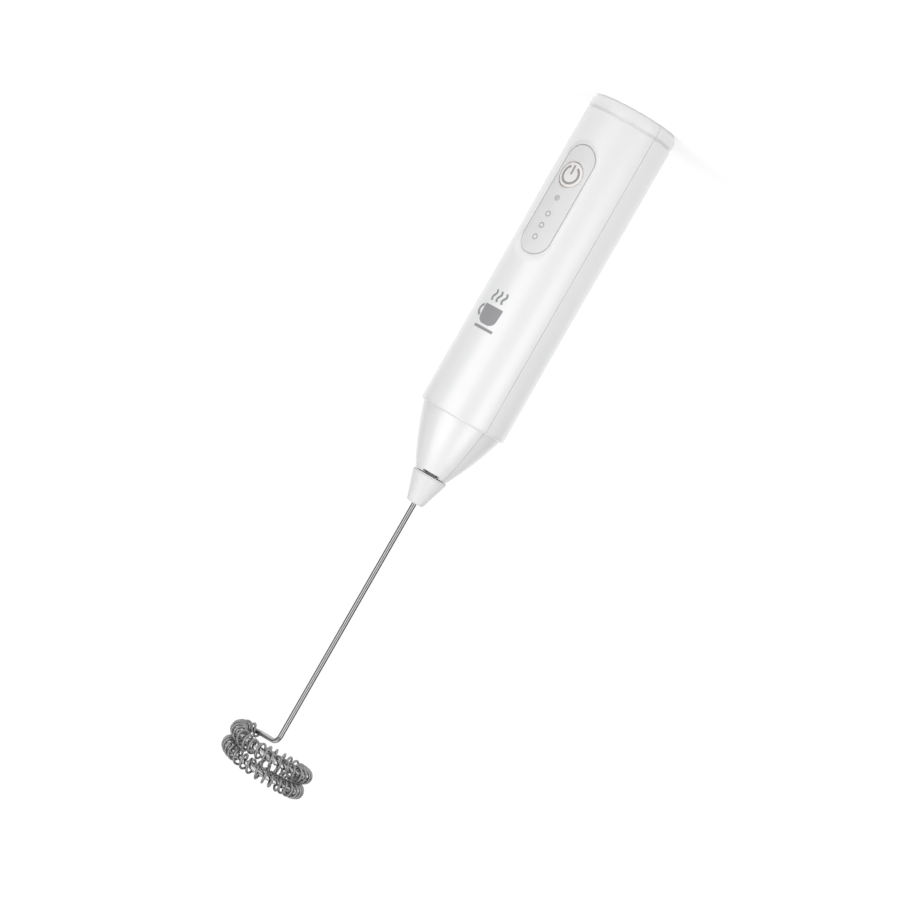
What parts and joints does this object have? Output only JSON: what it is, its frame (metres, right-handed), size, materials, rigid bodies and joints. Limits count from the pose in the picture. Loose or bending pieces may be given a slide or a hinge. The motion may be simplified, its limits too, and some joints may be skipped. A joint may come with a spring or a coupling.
{
  "type": "milk frother",
  "caption": "Slim round hand-held milk frother with a stepped nose, pill-shaped control panel, pull-off steel shaft and a double ring of coiled spring as its whisk.",
  "frame": {"origin": "centre of the flat cap end that the frother stands on", "axes": "+Z along the long axis from the cap end to the whisk, -Y out of the power button, +X to the right when looking at the button with the whisk up"},
  "size_m": [0.0312, 0.0312, 0.2442],
  "materials": {
    "white_shell": "satin white moulded plastic",
    "white_collar": "satin white moulded plastic",
    "grey_panel": "fine matt light grey",
    "bezel_metal": "thin satin ring",
    "button_metal": "pearl metallic lacquer",
    "light_grey": "smoked light window",
    "light_clear": "frosted light window",
    "pcb_green": "solder mask",
    "chip_black": "moulded epoxy",
    "led_body": "white package",
    "switch_black": "matt",
    "zinc_steel": "zinc plated",
    "nickel_strip": "nickel plated",
    "cell_wrap": "shrink sleeve",
    "foam_black": "closed-cell foam",
    "frame_nylon": "moulded nylon",
    "motor_steel": "zinc plated can",
    "nylon_white": "moulded nylon",
    "ferrite": "sintered ferrite",
    "bronze": "sintered bronze",
    "copper_wire": "enamelled copper",
    "lamination": "laminated steel",
    "washer_grey": "moulded silicone",
    "rubber_grey": "moulded rubber",
    "coupling_dark": "acetal",
    "stainless": "drawn stainless wire",
    "coil_steel": "spring stainless wire",
    "lead_red": "silicone",
    "lead_black": "silicone"
  },
  "bodies": {
    "handle": {"front_cover": "white_shell", "rear_housing": "white_shell", "control_panel": "grey_panel", "button_bezel": "bezel_metal", "status_light": "light_grey", "speed_lights": "light_clear", "main_board": "pcb_green", "board_screws": "zinc_steel", "tact_switch": "zinc_steel", "board_leds": "led_body", "controller_chip": "chip_black", "charge_chip": "chip_black", "usb_socket": "nickel_strip", "usb_tongue": "chip_black", "battery_cell": "cell_wrap", "battery_tabs": "nickel_strip", "battery_pads": "foam_black", "inner_frame": "frame_nylon", "frame_screws": "zinc_steel", "motor_can": "motor_steel", "motor_end_cap": "nylon_white", "motor_magnets": "ferrite", "motor_bushes": "bronze", "motor_brushes": "bronze", "motor_terminals": "nickel_strip", "motor_cushions": "rubber_grey", "nose_seal": "rubber_grey", "battery_lead_red": "lead_red", "battery_lead_black": "lead_black", "motor_lead_red": "lead_red", "motor_lead_black": "lead_black"},
    "button": {"power_button": "button_metal", "switch_plunger": "switch_black"},
    "rotor": {"motor_shaft": "stainless", "armature_core": "lamination", "armature_windings": "copper_wire", "commutator": "copper_wire", "drive_coupling": "coupling_dark"},
    "whisk": {"collar_washer": "washer_grey", "whisk_collar": "white_collar", "whisk_shaft": "stainless", "whisk_coil": "coil_steel"}
  },
  "joints": [
    {"name": "motor_spin", "type": "hinge", "parent": "handle", "child": "rotor", "pos_m": [0, 0, 0.1], "axis": [0, 0, 1], "continuous": true},
    {"name": "whisk_pull", "type": "slide", "parent": "rotor", "child": "whisk", "axis": [0, 0, 1], "range_m": [0, 0.012]},
    {"name": "button_press", "type": "slide", "parent": "handle", "child": "button", "axis": [0, 1, 0], "range_m": [0, 0.0004], "stiffness_N_per_m": 3000}
  ]
}
